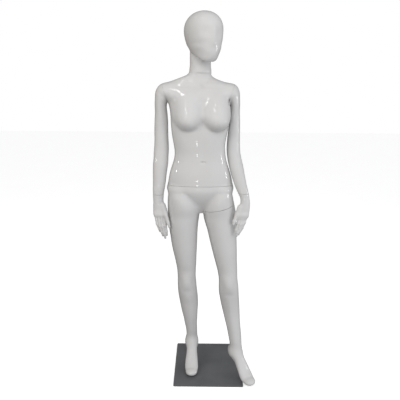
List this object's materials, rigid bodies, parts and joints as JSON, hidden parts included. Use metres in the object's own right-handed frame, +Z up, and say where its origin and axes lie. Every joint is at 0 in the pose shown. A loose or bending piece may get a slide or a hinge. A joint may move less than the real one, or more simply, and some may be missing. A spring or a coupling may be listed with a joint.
{
  "type": "full body display mannequin",
  "caption": "Standing female display mannequin in gloss shells, with removable head, arms, hands, torso and leg, on a square steel base with a calf rod.",
  "frame": {"origin": "centre of the base plate's underside, at floor level", "axes": "+Z up the figure, -Y the way the figure faces, +X its left side"},
  "size_m": [0.5056, 0.3666, 1.7615],
  "materials": {
    "shell_gloss": "white gelcoat, high gloss",
    "plate_steel": "dark grey satin powder coat",
    "fitting_steel": "bright zinc plated and brushed",
    "board_wood": "sealed and painted board",
    "cup_plastic": "moulded plastic",
    "pad_rubber": "matt rubber",
    "washer_nylon": "natural nylon"
  },
  "bodies": {
    "root": {"base_plate": "plate_steel", "base_pads": "pad_rubber", "rod_flange": "fitting_steel", "flange_screws": "fitting_steel", "calf_rod": "fitting_steel", "hip_leg_shell": "shell_gloss", "calf_socket": "fitting_steel", "pelvis_waist_board": "board_wood", "waist_socket": "fitting_steel", "waist_socket_screws": "fitting_steel", "pelvis_thigh_board": "board_wood", "thigh_socket": "fitting_steel", "thigh_socket_screws": "fitting_steel"},
    "set_screw": {"calf_set_screw": "fitting_steel"},
    "left_leg": {"left_leg_shell": "shell_gloss", "left_leg_board": "board_wood", "left_leg_stud": "fitting_steel", "left_leg_stud_screws": "fitting_steel"},
    "torso": {"torso_shell": "shell_gloss", "torso_waist_board": "board_wood", "waist_spigot": "fitting_steel", "waist_spigot_screws": "fitting_steel", "neck_board": "board_wood", "neck_pin": "fitting_steel", "neck_washer": "washer_nylon", "right_shoulder_board": "board_wood", "right_shoulder_socket": "fitting_steel", "right_shoulder_socket_screws": "fitting_steel", "left_shoulder_board": "board_wood", "left_shoulder_socket": "fitting_steel", "left_shoulder_socket_screws": "fitting_steel"},
    "head": {"head_shell": "shell_gloss", "head_cup": "cup_plastic", "head_board": "board_wood"},
    "right_arm": {"right_arm_shell": "shell_gloss", "right_arm_board": "board_wood", "right_arm_stud": "fitting_steel", "right_arm_stud_screws": "fitting_steel", "right_wrist_plug": "board_wood", "right_wrist_bush": "fitting_steel"},
    "right_hand": {"right_hand": "shell_gloss", "right_wrist_stud": "fitting_steel"},
    "left_arm": {"left_arm_shell": "shell_gloss", "left_arm_board": "board_wood", "left_arm_stud": "fitting_steel", "left_arm_stud_screws": "fitting_steel", "left_wrist_plug": "board_wood", "left_wrist_bush": "fitting_steel"},
    "left_hand": {"left_hand": "shell_gloss", "left_wrist_stud": "fitting_steel"}
  },
  "joints": [
    {"name": "torso_lift", "type": "slide", "parent": "root", "child": "torso", "axis": [0, 0.0698, 0.9976], "range_m": [0, 0.08]},
    {"name": "head_turn", "type": "hinge", "parent": "torso", "child": "head", "pos_m": [-0.05, 0.01, 1.6], "axis": [0, 0, 1], "range_deg": [-40, 40]},
    {"name": "right_arm_swing", "type": "hinge", "parent": "torso", "child": "right_arm", "pos_m": [-0.205, 0.012, 1.405], "axis": [-0.9511, 0, -0.309], "range_deg": [0, 30]},
    {"name": "left_arm_swing", "type": "hinge", "parent": "torso", "child": "left_arm", "pos_m": [0.087, 0.012, 1.408], "axis": [-0.9511, 0, 0.309], "range_deg": [0, 30]},
    {"name": "right_hand_turn", "type": "hinge", "parent": "right_arm", "child": "right_hand", "pos_m": [-0.2455, -0.0285, 0.953], "axis": [0, 0, -1], "range_deg": [0, 35]},
    {"name": "left_hand_turn", "type": "hinge", "parent": "left_arm", "child": "left_hand", "pos_m": [0.158, -0.0515, 0.966], "axis": [0, 0, 1], "range_deg": [0, 35]},
    {"name": "left_leg_turn", "type": "hinge", "parent": "root", "child": "left_leg", "pos_m": [0.048, 0.008, 0.8915], "axis": [-0.225, 0, 0.9744], "range_deg": [0, 20]},
    {"name": "set_screw_travel", "type": "slide", "parent": "root", "child": "set_screw", "axis": [0, 1, 0], "range_m": [0, 0.006]}
  ]
}
